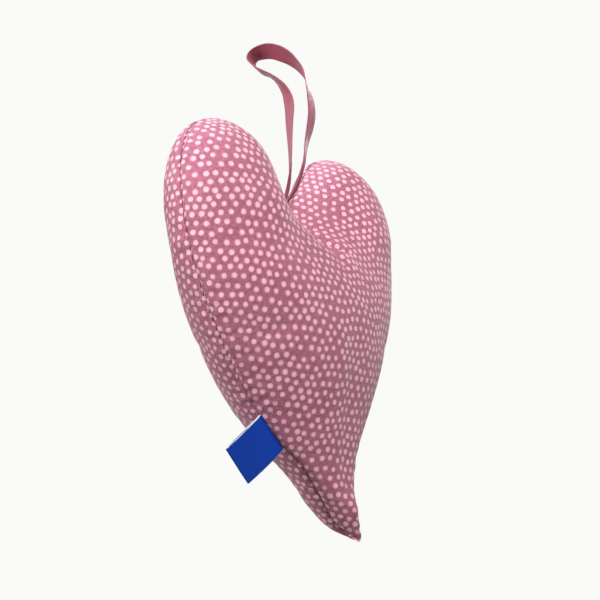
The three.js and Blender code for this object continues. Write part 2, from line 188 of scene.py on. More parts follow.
def stuffed_form(rib_count, steps, skin):
    """The stuffed heart as points and faces: a closed form, less the thickness skin all over."""
    rib = even_ribs(rib_count)
    foot = sewing_line(rib)
    run = np.concatenate([[0], np.cumsum(np.linalg.norm(np.diff(foot, axis=0), axis=1))])
    from_tip = LAST_RIB - rib
    branch = np.clip(np.minimum(rib, from_tip - BODY_RIBS) / BRANCH_RIBS, 0, 1)[:, None]
    body = np.clip(from_tip / BODY_RIBS, 0, 1)[:, None]
    middle = np.where(
        (from_tip < BODY_RIBS)[:, None],
        TIP_MIDDLE + (FORK - TIP_MIDDLE) * body,
        FORK + (LOBE_MIDDLE - FORK) * branch,
    )
    length = np.linalg.norm(middle - foot, axis=1)
    widest_body = np.linalg.norm(sewing_line(np.array([LAST_RIB - BODY_RIBS])) - FORK)
    taper = np.sin(np.clip(length / widest_body, 0, 1) * math.pi / 2) ** CROWN_TAPER
    shoulder = BODY_CROWN + (LOBE_CROWN - BODY_CROWN) * (1 - np.cos(branch[:, 0] * math.pi)) / 2
    crown = np.where(from_tip < BODY_RIBS, BODY_CROWN * taper, shoulder) + HALF_SLIT - skin
    valley = 1 + hump(run, CLEFT_PULL)
    angle = np.linspace(0, math.pi / 2, steps + 1)
    inwards = skin + (length - skin)[:, None] * (1 - np.cos(angle))
    away = crown[:, None] * np.sin(angle) ** valley[:, None]
    flat = foot[:, None] + (middle - foot)[:, None] * (inwards / length[:, None])[..., None]
    front = np.stack([flat[..., 0], -away, flat[..., 1]], axis=-1)
    section = np.concatenate([front[:, :0:-1], front * [1, -1, 1]], axis=1)
    other = section[-2:0:-1] * [-1, 1, 1]
    rows = np.concatenate([section, other])
    ring, width = rows.shape[:2]
    index = np.arange(ring * width).reshape(ring, width)
    ahead = np.roll(index, -1, axis=0)
    faces = np.stack([index[:, :-1], ahead[:, :-1], ahead[:, 1:], index[:, 1:]], axis=-1)
    return rows.reshape(-1, 3), faces.reshape(-1, 4)


def new_mesh(name, points, faces):
    mesh = bpy.data.meshes.new(name)
    mesh.from_pydata([tuple(p) for p in points], [], [tuple(f) for f in faces])
    mesh.validate()
    piece = bpy.data.objects.new(name, mesh)
    bpy.context.scene.collection.objects.link(piece)
    return piece


def points_of(piece):
    places = np.empty(len(piece.data.vertices) * 3)
    piece.data.vertices.foreach_get("co", places)
    return places.reshape(-1, 3)


def set_points(piece, places):
    piece.data.vertices.foreach_set("co", np.ascontiguousarray(places, float).ravel())
    piece.data.update()


def finished_mesh(piece):
    """Gives the piece the mesh that its modifiers make, and removes them."""
    bpy.context.view_layer.update()
    graph = bpy.context.evaluated_depsgraph_get()
    made = bpy.data.meshes.new_from_object(
        piece.evaluated_get(graph), preserve_all_data_layers=True, depsgraph=graph
    )
    made.name = piece.name
    piece.modifiers.clear()
    piece.data = made


def smoothed(piece, values, rounds):
    """Values at the piece's points, each moved half way to its neighbours' mean in every round."""
    edges = np.empty(len(piece.data.edges) * 2, int)
    piece.data.edges.foreach_get("vertices", edges)
    a, b = edges.reshape(-1, 2).T
    neighbours = np.maximum(np.bincount(edges, minlength=len(values)), 1)
    for _ in range(rounds):
        total = np.zeros_like(values)
        np.add.at(total, a, values[b])
        np.add.at(total, b, values[a])
        values = values + 0.5 * (total / neighbours[:, None] - values)
    return values


# The lavender filling
# Dried lavender buds fill the bag. They can't be seen through the cotton, so the filling is one
# lumpy mass, a little smaller than the bag, with the grain of loose buds in its surface.

FORM_RIBS = 240
FORM_STEPS = 40
FILLING_VOXEL = 2.4
FILLING_SKIN = 2.8
BUD_SIZE = 2.4
BUD_RELIEF = 0.6


def even_heart(name, voxel, skin):
    """The stuffed form again, as one mesh of even squares, in millimetres and not yet bent."""
    points, faces = stuffed_form(FORM_RIBS, FORM_STEPS, skin)
    piece = new_mesh(name, points, faces)
    remesh = piece.modifiers.new("even squares", "REMESH")
    remesh.mode = "VOXEL"
    remesh.voxel_size = voxel
    remesh.use_smooth_shade = True
    finished_mesh(piece)
    form_tree = BVHTree.FromPolygons([tuple(p) for p in points], [tuple(f) for f in faces])
    # smoothed out of the remesh's steps, and each time brought back to the drawn form
    for _ in range(4):
        loose = smoothed(piece, points_of(piece), 2)
        set_points(piece, [form_tree.find_nearest(p)[0] for p in loose])
    return piece


def to_model_frame(piece):
    set_points(piece, placed(points_of(piece)))
    for face in piece.data.polygons:
        face.use_smooth = True


def new_material(name):
    """A new material, its node tree and the shader that its finish ends in."""
    material = bpy.data.materials.new(name)
    material.use_nodes = True
    return material, material.node_tree, material.node_tree.nodes["Principled BSDF"]


def feed(tree, sockets, inputs):
    """Sets each socket to its value, or links it to its value where that is an output."""
    for key, value in inputs.items():
        if isinstance(value, bpy.types.NodeSocket):
            tree.links.new(value, sockets[key])
        else:
            sockets[key].default_value = value


def add_node(tree, kind, inputs=None, **settings):
    made = tree.nodes.new(kind)
    for key, value in settings.items():
        setattr(made, key, value)
    feed(tree, made.inputs, inputs or {})
    return made


def relief(tree, height, depth, strength=1.0):
    """The surface direction on cloth that swells by this height, up to a depth in millimetres."""
    bump = {"Height": height, "Distance": depth * MM, "Strength": strength}
    return add_node(tree, "ShaderNodeBump", bump).outputs["Normal"]


filling = even_heart("lavender_mass", FILLING_VOXEL, FILLING_SKIN)
set_points(filling, bent(points_of(filling)))
to_model_frame(filling)

buds, tree, shader = new_material("dried_lavender_buds")
where = add_node(tree, "ShaderNodeTexCoord").outputs["Object"]
cells = add_node(tree, "ShaderNodeTexVoronoi", {"Vector": where, "Scale": 1000 / BUD_SIZE})
tints = add_node(tree, "ShaderNodeValToRGB", {"Fac": cells.outputs["Color"]})
tints.color_ramp.elements[0].color = (0.13, 0.10, 0.19, 1)
tints.color_ramp.elements[1].color = (0.36, 0.31, 0.30, 1)
feed(tree, shader.inputs, {
    "Base Color": tints.outputs["Color"],
    "Roughness": 0.95,
    "Normal": relief(tree, cells.outputs["Distance"], BUD_RELIEF),
})
filling.data.materials.append(buds)
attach(filling, "sachet")
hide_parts("lavender_filling")

# The cotton panels
# Two hearts cut from a dusky mauve cotton with small pale pink dots, sewn right sides together,
# turned and stuffed hard. The cloth puckers along the seam, which lies in a fine groove, and is
# drawn into soft folds under the cleft. One bag is blown up, and then parted along the seam.

VOXEL = 1.25
GROOVE_DEPTH = 0.6
GROOVE_WIDTH = 0.9
PUCKER = 0.12
SEAM_POINTS = 420
# The soft folds that run out from under the cleft, as lines on the front, and how deep they are
CREASES = [
    ([(0.5, -9, 107), (2, -13, 101.5), (4, -16.5, 98.5), (8, -19.5, 96.5), (14, -21.5, 94.5)], 1.4),
    ([(-0.5, -9, 107), (-3, -14.5, 101), (-7, -18.5, 97.5), (-12, -21, 94)], 0.8),
    ([(0, -12, 103), (1, -17, 97), (1.5, -20.5, 91), (1, -22.5, 84)], 0.8),
]
CREASE_WIDTH = 1.7
CREASE_STEPS = 40

# The points that lie close to the seam's plane are put on it, and the rest is cut there, so
# that the bag has an edge all along the seam.
bag = even_heart("cotton_bag", VOXEL, 0.0)
places = points_of(bag)
near_seam = np.abs(places[:, 1]) < 0.35 * VOXEL
places[near_seam, 1] = 0
set_points(bag, places)
cut = bmesh.new()
cut.from_mesh(bag.data)
bmesh.ops.bisect_plane(
    cut, geom=cut.verts[:] + cut.edges[:] + cut.faces[:], dist=1e-4,
    plane_co=(0, 0, 0), plane_no=(0, 1, 0),
)
bmesh.ops.remove_doubles(cut, verts=cut.verts[:], dist=0.05)
cut.to_mesh(bag.data)
cut.free()

half_line = sewing_line(even_ribs(SEAM_POINTS))
flat_line = np.concatenate([half_line, half_line[-2:0:-1] * [-1, 1]])
line_ring = np.stack([flat_line[:, 0], np.zeros(len(flat_line)), flat_line[:, 1]], axis=-1)
line_bent = bent(line_ring)
line_steps = np.linalg.norm(np.diff(np.concatenate([line_bent, line_bent[:1]]), axis=0), axis=1)
line_run = np.concatenate([[0], np.cumsum(line_steps)])
line_ahead = np.roll(line_bent, -1, axis=0) - np.roll(line_bent, 1, axis=0)
line_ahead /= np.linalg.norm(line_ahead, axis=1)[:, None]
line_out = np.cross([0, -1, 0], line_ahead)
line_out /= np.linalg.norm(line_out, axis=1)[:, None]
sewn_tip = line_bent[SEAM_POINTS - 1]

seam_tree = KDTree(len(line_bent))
for number, place in enumerate(line_bent):
    seam_tree.insert(place, number)
seam_tree.balance()


def nearest_on_seam(places):
    """For each place: the number of the nearest point of the bent sewing line, and how far."""
    found = [seam_tree.find(place)[1:] for place in places]
    return np.array([number for number, _ in found]), np.array([far for _, far in found])


# The remesh rounds off the tip, so its last 9 mm are drawn back to the tip's own height. Each
# point of the seam is put on the sewing line, as far along it as it stood.
places = points_of(bag)
lowest = places[:, 2].min()
places[:, 2] -= lowest * np.clip(1 - places[:, 2] / 9.0, 0, 1)
on_seam = np.abs(places[:, 1]) < 1e-3
bag_side = places[:, 1].copy()
places = bent(places)
nearest, _ = nearest_on_seam(places[on_seam])
past = ((places[on_seam] - line_bent[nearest]) * line_ahead[nearest]).sum(1)
places[on_seam] = line_bent[nearest] + line_ahead[nearest] * past[:, None]
set_points(bag, places)

# The bag is blown up at ten times its size, with its seam held and its cloth cut 3% too large,
# and only the wrinkles are kept, so that the stuffed outline stays as it was drawn.
SIM_SCALE = 0.01
SIM_TICKS = 13
BULGE_ROUNDS = 60
WRINKLES_KEPT = 0.35
DEEPEST_WRINKLE = 1.2
blown = bag.copy()
blown.data = bag.data.copy()
bpy.context.scene.collection.objects.link(blown)
set_points(blown, places * SIM_SCALE)
held = blown.vertex_groups.new(name="seam")
held.add([int(i) for i in np.flatnonzero(on_seam)], 1.0, "REPLACE")
cloth = blown.modifiers.new("stuffed cotton", "CLOTH")
cloth.settings.quality = 6
cloth.settings.mass = 0.2
cloth.settings.tension_stiffness = 25
cloth.settings.compression_stiffness = 25
cloth.settings.shear_stiffness = 12
cloth.settings.bending_stiffness = 0.25
cloth.settings.tension_damping = 15
cloth.settings.compression_damping = 15
cloth.settings.shear_damping = 10
cloth.settings.vertex_group_mass = "seam"
cloth.settings.shrink_min = -0.03
cloth.settings.use_pressure = True
cloth.settings.uniform_pressure_force = 3.0
cloth.settings.effector_weights.gravity = 0
cloth.collision_settings.use_collision = False
for tick in range(1, SIM_TICKS + 1):
    bpy.context.scene.frame_set(tick)
finished_mesh(blown)
moved = points_of(blown) / SIM_SCALE - places
bpy.context.scene.frame_set(1)
wrinkles = moved - smoothed(blown, moved, BULGE_ROUNDS)
size = np.linalg.norm(wrinkles, axis=1)
wrinkles *= WRINKLES_KEPT * np.minimum(1, DEEPEST_WRINKLE / np.maximum(size, 1e-9))[:, None]
set_points(bag, places + wrinkles)
bpy.data.objects.remove(blown)


def panel_from(bag, name, side):
    """One panel of the bag: the faces on that side of the seam, unwrapped as they were cut."""
    panel = bag.copy()
    panel.data = bag.data.copy()
    panel.name = name
    bpy.context.scene.collection.objects.link(panel)
    edit = bmesh.new()
    edit.from_mesh(panel.data)
    other = [
        face for face in edit.faces
        if side * sum(bag_side[vertex.index] for vertex in face.verts) < 0
    ]
    bmesh.ops.delete(edit, geom=other, context="FACES")
    edit.to_mesh(panel.data)
    edit.free()
    for item in bpy.context.selected_objects:
        item.select_set(False)
    bpy.context.view_layer.objects.active = panel
    panel.select_set(True)
    panel.data.uv_layers.new(name="cut")
    bpy.ops.object.mode_set(mode="EDIT")
    bpy.ops.mesh.select_all(action="SELECT")
    bpy.ops.uv.unwrap(method="MINIMUM_STRETCH", iterations=30, margin=0)
    bpy.ops.object.mode_set(mode="OBJECT")
    panel.select_set(False)
    return panel


# One unit of the panels' UV map is 200 mm of cloth, with the weave upright in the middle.
CLOTH_UNIT = 200.0


def true_to_size(panel):
    """Scales and turns the panel's cut so that it has the cloth's real size, upright."""
    mesh = panel.data
    cut_map = np.empty(len(mesh.loops) * 2)
    mesh.uv_layers["cut"].data.foreach_get("uv", cut_map)
    cut_map = cut_map.reshape(-1, 2)
    corner = np.empty(len(mesh.loops), int)
    mesh.loops.foreach_get("vertex_index", corner)
    place = points_of(panel)[corner]
    mesh.calc_loop_triangles()
    triangle = np.empty(len(mesh.loop_triangles) * 3, int)
    mesh.loop_triangles.foreach_get("loops", triangle)
    a, b, c = triangle.reshape(-1, 3).T
    real = np.linalg.norm(np.cross(place[b] - place[a], place[c] - place[a]), axis=1).sum()
    u, v = cut_map[b] - cut_map[a], cut_map[c] - cut_map[a]
    drawn = (u[:, 0] * v[:, 1] - u[:, 1] * v[:, 0]).sum()
    cut_map = cut_map * [math.copysign(1, drawn), 1] * math.sqrt(real / abs(drawn)) / CLOTH_UNIT
    middle = cut_map.mean(0)
    heights = place[:, 2] - place[:, 2].mean()
    climb = ((cut_map - middle) * heights[:, None]).sum(0)
    climb /= np.linalg.norm(climb)
    turned = (cut_map - middle) @ np.array([[climb[1], climb[0]], [-climb[0], climb[1]]])
    mesh.uv_layers["cut"].data.foreach_set("uv", (turned + 0.5).ravel())


def gathered(panel):
    """Draws the cloth into the seam's groove, its small puckers and the folds under the cleft."""
    places = points_of(panel)
    normal = np.empty(len(places) * 3)
    panel.data.vertices.foreach_get("normal", normal)
    normal = normal.reshape(-1, 3)
    nearest, far = nearest_on_seam(places)
    run = line_run[:-1][nearest]
    groove = GROOVE_DEPTH * hump(far, GROOVE_WIDTH)
    # two runs of puckers, 5.3 and 3.4 mm apart, that wander and reach out unevenly
    ripple = np.sin(run * 2 * math.pi / 5.3 + 1.9 * np.sin(run / 7.1))
    ripple += 0.7 * np.sin(run * 2 * math.pi / 3.4 + 2.3 * np.sin(run / 5.3 + 1))
    reach = 2.4 + 0.9 * np.sin(run / 4.7)
    pucker = PUCKER * ripple * (far / 1.5) * np.exp(-far / reach)
    crease = np.zeros(len(places))
    for line, depth in CREASES:
        steps = np.linspace(0, len(line) - 1, CREASE_STEPS)
        corners = np.array(line, float).T
        spots = np.stack([np.interp(steps, range(len(line)), axis) for axis in corners], axis=-1)
        gaps = np.linalg.norm(places[:, None] - spots[None], axis=2)
        fade = np.sin(np.linspace(0.35, math.pi, CREASE_STEPS))[gaps.argmin(1)]
        crease = np.maximum(crease, depth * fade * hump(gaps.min(1), CREASE_WIDTH))
    moved = places - line_out[nearest] * groove[:, None] + normal * (pucker - crease)[:, None]
    set_points(panel, moved)


# How deep each row of the seam allowance lies, from the seam to its raw edge. It is trimmed away
# over the last 26 mm to the tip.
ALLOWANCE_ROWS = (0.6, 1.6, 6.0)
ALLOWANCE_ASIDE = 0.03
TRIMMED_OVER = 26
LEAST_LEFT = 0.08


def turned_in(panel):
    """Adds the seam allowance, folded inwards between the panels."""
    edit = bmesh.new()
    edit.from_mesh(panel.data)
    rim = [edge for edge in edit.edges if edge.is_boundary]
    side = -1 if panel.name.startswith("front") else 1
    for depth in ALLOWANCE_ROWS:
        made = bmesh.ops.extrude_edge_only(edit, edges=rim)
        fresh = [item for item in made["geom"] if isinstance(item, bmesh.types.BMVert)]
        edges = [item for item in made["geom"] if isinstance(item, bmesh.types.BMEdge)]
        rim = [item for item in edges if item.is_boundary]
        spots = np.array([vertex.co for vertex in fresh])
        nearest, _ = nearest_on_seam(spots)
        from_tip = np.linalg.norm(line_bent[nearest] - sewn_tip, axis=1)
        trimmed = depth * np.clip(from_tip / TRIMMED_OVER, LEAST_LEFT, 1)
        goal = line_bent[nearest] - line_out[nearest] * (GROOVE_DEPTH + trimmed)[:, None]
        for vertex, place in zip(fresh, goal):
            vertex.co = place + np.array([0, side * ALLOWANCE_ASIDE, 0])
    edit.to_mesh(panel.data)
    edit.free()


# The dots stand in two grids of cells of this size, in millimetres of cloth, one grid shifted by
# half a cell. Each dot has a size of its own, strays in its cell, and goes with the rows.
DOT_CELL = (3.25, 5.46, 1.0)
DOT_RADIUS = 0.80
DOT_GROWS = 0.13
DOT_EDGE = 0.16
DOT_STRAYS = (0.86, 0.92, 0.0)
ROWS_WANDER = (2.4, 2.4, 0.0)
YARN_PERIOD = 0.78
CLOTH_RELIEF = 0.08


def maths(tree, operation, *values):
    """The number that a Math node makes from these values or outputs."""
    return add_node(tree, "ShaderNodeMath", dict(enumerate(values)), operation=operation).outputs[0]


def vectors(tree, operation, *values):
    """The vector that a Vector Math node makes from these, or its length."""
    made = add_node(tree, "ShaderNodeVectorMath", dict(enumerate(values)), operation=operation)
    return made.outputs[1 if operation == "LENGTH" else 0]


def colour_mix(tree, factor, first, second, blend="MIX"):
    """The colour between two, or with blend MULTIPLY the first one times the second."""
    inputs = {"Factor": factor, "A": first, "B": second}
    return add_node(tree, "ShaderNodeMix", inputs, data_type="RGBA", blend_type=blend).outputs["Result"]


def drift(tree, place):
    """How far the rows of dots have wandered at this place."""
    inputs = {"Scale": 1 / 14.0, "Detail": 0.0, "Vector": place}
    noise = add_node(tree, "ShaderNodeTexNoise", inputs, noise_dimensions="2D")
    centred = vectors(tree, "SUBTRACT", noise.outputs["Color"], (0.5, 0.5, 0.5))
    return vectors(tree, "MULTIPLY", centred, ROWS_WANDER)


def dots_at(tree, spot, rows, shift):
    """One in the dot of each cell and zero between the dots, with the cells shifted by this much."""
    width, height, _ = DOT_CELL
    in_cells = vectors(tree, "DIVIDE", vectors(tree, "ADD", rows, shift), DOT_CELL)
    number = vectors(tree, "FLOOR", in_cells)
    seeded = vectors(tree, "ADD", number, (7.0 + shift[0], 3.0, 0.0))
    chance = add_node(tree, "ShaderNodeTexWhiteNoise", {"Vector": seeded}, noise_dimensions="2D")
    stray = vectors(tree, "SUBTRACT", chance.outputs["Color"], (0.5, 0.5, 0.5))
    stray = vectors(tree, "MULTIPLY", stray, DOT_STRAYS)
    middle_of_cell = vectors(tree, "ADD", number, (0.5, 0.5, 0.0))
    home = vectors(tree, "MULTIPLY", middle_of_cell, (width, height, 0.0))
    home = vectors(tree, "ADD", vectors(tree, "SUBTRACT", home, shift), stray)
    # what wanders is the middle of the dot, so that the dot stays round
    middle = vectors(tree, "SUBTRACT", home, drift(tree, home))
    reach = vectors(tree, "LENGTH", vectors(tree, "SUBTRACT", spot, middle))
    radius = maths(tree, "MULTIPLY_ADD", chance.outputs["Value"], DOT_GROWS, DOT_RADIUS)
    edge = maths(tree, "DIVIDE", maths(tree, "SUBTRACT", radius, reach), DOT_EDGE)
    return add_node(tree, "ShaderNodeClamp", {0: maths(tree, "ADD", edge, 0.5)}).outputs[0]


def cotton_material():
    cotton, tree, shader = new_material("dotted_mauve_cotton")
    cloth_map = add_node(tree, "ShaderNodeUVMap", uv_map="cut").outputs[0]
    spot = vectors(tree, "MULTIPLY", cloth_map, (CLOTH_UNIT, CLOTH_UNIT, 0.0))
    width, height, _ = DOT_CELL
    rows = vectors(tree, "ADD", spot, drift(tree, spot))
    at_corners = dots_at(tree, spot, rows, (0.0, 0.0, 0.0))
    at_middles = dots_at(tree, spot, rows, (width / 2, height / 2, 0.0))
    dots = maths(tree, "MAXIMUM", at_corners, at_middles)

    # plain weave: warp over weft in turn, with yarns that vary in thickness
    turns = 2 * math.pi / YARN_PERIOD
    threads = vectors(tree, "MULTIPLY", spot, (turns, turns, 0.0))
    split = add_node(tree, "ShaderNodeSeparateXYZ", {0: threads})
    warp = maths(tree, "SINE", split.outputs[0])
    weft = maths(tree, "SINE", split.outputs[1])
    weave = maths(tree, "MULTIPLY", warp, weft)
    slubs = {"Scale": 1.35, "Detail": 2.0, "Vector": spot}
    yarn = add_node(tree, "ShaderNodeTexNoise", slubs, noise_dimensions="2D").outputs["Fac"]
    patches = {"Scale": 0.06, "Vector": spot}
    patch = add_node(tree, "ShaderNodeTexNoise", patches, noise_dimensions="2D").outputs["Fac"]

    # the ground is paler in thick yarns and in broad patches, and has a painted highlight on the
    # tops of the weave; both it and the dots are darker between the yarns, as painted shade
    # painted highlight: the ground made paler on the tops of the weave
    crown_highlight = maths(tree, "MULTIPLY_ADD", weave, 0.36, -0.70)
    yarns_and_crown_highlight = maths(tree, "MULTIPLY_ADD", yarn, 2.0, crown_highlight)
    tone_and_crown_highlight = maths(tree, "MULTIPLY_ADD", patch, 0.4, yarns_and_crown_highlight)
    ground = colour_mix(tree, tone_and_crown_highlight, (0.275, 0.068, 0.114, 1), (0.560, 0.195, 0.280, 1))
    dot_colour = colour_mix(tree, yarn, (0.860, 0.450, 0.530, 1), (0.920, 0.555, 0.635, 1))
    printed = colour_mix(tree, dots, ground, dot_colour)
    # painted shade: the ground and the dots darkened between the yarns of the weave
    between = maths(tree, "MULTIPLY_ADD", weave, -0.28, 0.28)
    swell = maths(tree, "ADD", weave, maths(tree, "MULTIPLY", yarn, 1.5))
    feed(tree, shader.inputs, {
        "Base Color": colour_mix(tree, between, printed, (0.74, 0.70, 0.74, 1), "MULTIPLY"),
        "Roughness": 0.88,
        "Specular IOR Level": 0.25,
        "Sheen Weight": 0.28,
        "Sheen Roughness": 0.5,
        "Sheen Tint": (1.0, 0.86, 0.92, 1),
        "Normal": relief(tree, swell, CLOTH_RELIEF, 0.8),
    })
    return cotton


cotton = cotton_material()
for name, node_name, side in (("front_cotton", "front_panel", -1), ("back_cotton", "back_panel", 1)):
    panel = panel_from(bag, name, side)
    true_to_size(panel)
    rounder = panel.modifiers.new("rounder", "SUBSURF")
    rounder.levels = rounder.render_levels = 1
    finished_mesh(panel)
    gathered(panel)
    turned_in(panel)
    to_model_frame(panel)
    panel.data.materials.append(cotton)
    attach(panel, "sachet")
    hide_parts(node_name)
bpy.data.objects.remove(bag)

# The seam's threads
# A lockstitch in dark mauve thread joins the panels all round, but for the gap on the right
# flank that the bag was turned and filled through. Seen from outside, each stitch is a short
# rung of needle thread and one of bobbin thread deep in the groove. The threads are coloured
# very dark, partly for their own dark mauve and partly as painted shade of the seam's deep gap.

THREAD = 0.26
STITCH_PITCH = 2.9
CLOSING_PITCH = 3.3
STITCH_LENGTH = 1.5
STITCH_BOW = 0.2
THREAD_RELIEF = 0.05
GAP_FOOT = 52
GAP_HEAD = 88


def stitch_tree():
    """Puts one bowed rung of thread on each point, along its run and standing out of the seam."""
    tree = bpy.data.node_groups.new("stitches", "GeometryNodeTree")
    sockets = tree.interface
    sockets.new_socket("Places", in_out="INPUT", socket_type="NodeSocketGeometry")
    sizes = {"Stitch Length": STITCH_LENGTH, "Thread Diameter": THREAD, "Bow": STITCH_BOW}
    for label, size in sizes.items():
        made = sockets.new_socket(label, in_out="INPUT", socket_type="NodeSocketFloat")
        made.default_value = size * MM
    sockets.new_socket("Thread", in_out="INPUT", socket_type="NodeSocketMaterial")
    sockets.new_socket("Stitches", in_out="OUTPUT", socket_type="NodeSocketGeometry")
    given = add_node(tree, "NodeGroupInput").outputs
    ends = {}
    for end, share in (("Start", -0.5), ("End", 0.5)):
        across = maths(tree, "MULTIPLY", given["Stitch Length"], share)
        ends[end] = add_node(tree, "ShaderNodeCombineXYZ", {"X": across}).outputs[0]
    top = add_node(tree, "ShaderNodeCombineXYZ", {"Z": given["Bow"]})
    rung = add_node(
        tree, "GeometryNodeCurveQuadraticBezier", {"Resolution": 6, "Middle": top.outputs[0], **ends}
    )
    radius = maths(tree, "MULTIPLY", given["Thread Diameter"], 0.5)
    circle = add_node(tree, "GeometryNodeCurvePrimitiveCircle", {"Resolution": 7, "Radius": radius})
    tube = add_node(tree, "GeometryNodeCurveToMesh", {
        "Curve": rung.outputs[0], "Profile Curve": circle.outputs[0], "Fill Caps": True,
    })
    axes = {}
    for axis, way in (("Primary Axis", "outward"), ("Secondary Axis", "along")):
        stored = {"Name": way}
        given_way = add_node(tree, "GeometryNodeInputNamedAttribute", stored, data_type="FLOAT_VECTOR")
        axes[axis] = given_way.outputs[0]
    turn = add_node(tree, "FunctionNodeAxesToRotation", axes, primary_axis="Z", secondary_axis="X")
    chance = add_node(tree, "FunctionNodeRandomValue", {2: 0.82, 3: 1.12, "Seed": 4})
    spots = add_node(tree, "GeometryNodeMeshToPoints", {"Mesh": given["Places"]})
    laid = add_node(tree, "GeometryNodeInstanceOnPoints", {
        "Points": spots.outputs[0], "Instance": tube.outputs[0],
        "Rotation": turn.outputs[0], "Scale": chance.outputs[1],
    })
    real = add_node(tree, "GeometryNodeRealizeInstances", {0: laid.outputs[0]})
    dyed = add_node(
        tree, "GeometryNodeSetMaterial", {"Geometry": real.outputs[0], "Material": given["Thread"]}
    )
    add_node(tree, "NodeGroupOutput", {0: dyed.outputs[0]})
    return tree


def thread_and_seam_shade_material():
    thread, tree, shader = new_material("dark_thread_and_painted_seam_shade")
    where = add_node(tree, "ShaderNodeTexCoord").outputs["Object"]
    twists = {"Vector": where, "Scale": 1400, "Distortion": 2.0}
    twist = add_node(tree, "ShaderNodeTexWave", twists).outputs["Fac"]
    # the thread's dark colour is partly its own dark mauve and partly painted shade of the seam's deep
    # gap
    feed(tree, shader.inputs, {
        "Base Color": colour_mix(tree, twist, (0.050, 0.012, 0.030, 1), (0.125, 0.035, 0.070, 1)),
        "Roughness": 0.6,
        "Normal": relief(tree, twist, THREAD_RELIEF),
    })
    return thread


stitches = stitch_tree()
thread_and_seam_shade = thread_and_seam_shade_material()


def on_seam_at(run):
    """Places on the sewing line at these distances along it, with its directions there."""
    ring = np.concatenate([line_bent, line_bent[:1]])
    place = np.stack([np.interp(run, line_run, ring[:, k]) for k in range(3)], axis=-1)
    index = np.clip(np.searchsorted(line_run, run), 0, len(line_bent) - 1)
    return place, line_ahead[index], line_out[index]


def sewn(name, run, across, slant, depth, length, bow, replaced):
    """A row of stitches at these runs, this deep in the groove, off to one side and slanted."""
    place, ahead, out = on_seam_at(run)
    aside = np.cross(ahead, out)
    place = place - out * depth + aside * across
    along = ahead * math.cos(slant) + aside * math.sin(slant)
    row = new_mesh(name, placed(place), [])
    for label, values in (("along", along), ("outward", out)):
        made = row.data.attributes.new(label, "FLOAT_VECTOR", "POINT")
        made.data.foreach_set("vector", values.ravel())
    modifier = row.modifiers.new("stitches", "NODES")
    modifier.node_group = stitches
    inputs = [item for item in stitches.interface.items_tree if item.in_out == "INPUT"]
    sockets = {item.name: item.identifier for item in inputs}
    for label, size in (("Stitch Length", length), ("Thread Diameter", THREAD), ("Bow", bow)):
        modifier[sockets[label]] = size * MM
    modifier[sockets["Thread"]] = thread_and_seam_shade
    finished_mesh(row)
    for polygon in row.data.polygons:
        polygon.use_smooth = True
    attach(row, "sachet")
    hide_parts(replaced)


in_gap = (half_line[:, 1] > GAP_FOOT) & (half_line[:, 1] < GAP_HEAD)
gap_runs = line_run[:SEAM_POINTS][in_gap]
gap_start, gap_end = gap_runs[0], gap_runs[-1]
whole = line_run[-1]
needle_runs = np.arange(gap_end + 1.3, gap_start + whole - 1.3, STITCH_PITCH) % whole
bobbin_runs = (needle_runs + STITCH_PITCH / 2) % whole
closing_runs = np.arange(gap_start + 1.0, gap_end, CLOSING_PITCH)
sewn(
    "needle_stitches", needle_runs, across=0.05, slant=0.3, depth=GROOVE_DEPTH - 0.15,
    length=STITCH_LENGTH, bow=STITCH_BOW, replaced="needle_thread",
)
sewn(
    "bobbin_stitches", bobbin_runs, across=-0.1, slant=-0.35, depth=GROOVE_DEPTH + 0.15,
    length=1.2, bow=STITCH_BOW, replaced="bobbin_thread",
)
sewn(
    "closing_stitches", closing_runs, across=0.0, slant=1.15, depth=GROOVE_DEPTH - 0.3,
    length=STITCH_LENGTH, bow=0.35, replaced="closing_thread",
)

# The satin ribbon
# One length of 6 mm burgundy satin ribbon, doubled. Both ends are sewn into the cleft, folded
# lengthwise there, and it stands up as a loop that twists once on each side of its top. It bends
# where it leaves the cleft.

RIBBON_WIDTH = 6.0
RIBBON_THICKNESS = 0.3
CLEFT_EXIT = np.array([0.0, 0.0, 115.0])
TAIL_DEPTH = 6.0
TAIL_STEPS = 12
ROUTE_STEPS = 288
UNFOLDED_AT = 20.0
PLEATS = 6
PLEAT_TURN = 0.46 * math.pi
ACROSS = 18
SATIN_RELIEF = 0.04
# The loop's middle line, from one end in the cleft round to the other: how far forward and how
# far up each point is, and how far the ribbon is turned there, in degrees
RIBBON_ROUTE = [
    (-0.4, 0, 0), (-0.3, 0.9, -6), (1, 2.4, -20), (2.4, 4.9, -29), (4, 9.4, -33),
    (5, 14.3, -41), (5.6, 21.2, -47), (6.2, 28.1, -56), (6.9, 34, -64), (6.5, 37.9, -60),
    (5, 41.7, -44), (2.1, 45.8, -24), (-1, 48.8, -13), (-4.1, 51, -14), (-6.4, 53.6, -12),
    (-6.9, 55.7, -2), (-5.3, 57, 18), (-2.4, 57.3, 37), (1.2, 56.7, 50), (5.2, 54.6, 55),
    (8.9, 51.7, 47), (11.8, 48.3, 38), (14.1, 44.4, 32), (15.3, 39.4, 20), (15.8, 34.2, 12),
    (15.6, 29.4, 11), (14.3, 24.8, 14), (12.7, 20.8, 21), (11.4, 16.8, 27), (10.4, 13.2, 30),
    (8.7, 9.6, 30), (6.4, 5.8, 28), (3.6, 2.7, 18), (1.3, 1, 6), (0.4, 0, 0),
]


def smooth_route(route, steps):
    """A uniform Catmull-Rom line through the route's points."""
    route = np.array(route, float)
    padded = np.concatenate([[2 * route[0] - route[1]], route, [2 * route[-1] - route[-2]]])
    at = np.linspace(0, len(route) - 1, steps + 1)
    index = np.minimum(at.astype(int), len(route) - 2)
    t = (at - index)[:, None]
    p0, p1, p2, p3 = (padded[index + k] for k in range(4))
    v0, v1 = (p2 - p0) / 2, (p3 - p1) / 2
    return p1 + v0 * t + (3 * (p2 - p1) - 2 * v0 - v1) * t**2 + (2 * (p1 - p2) + v0 + v1) * t**3


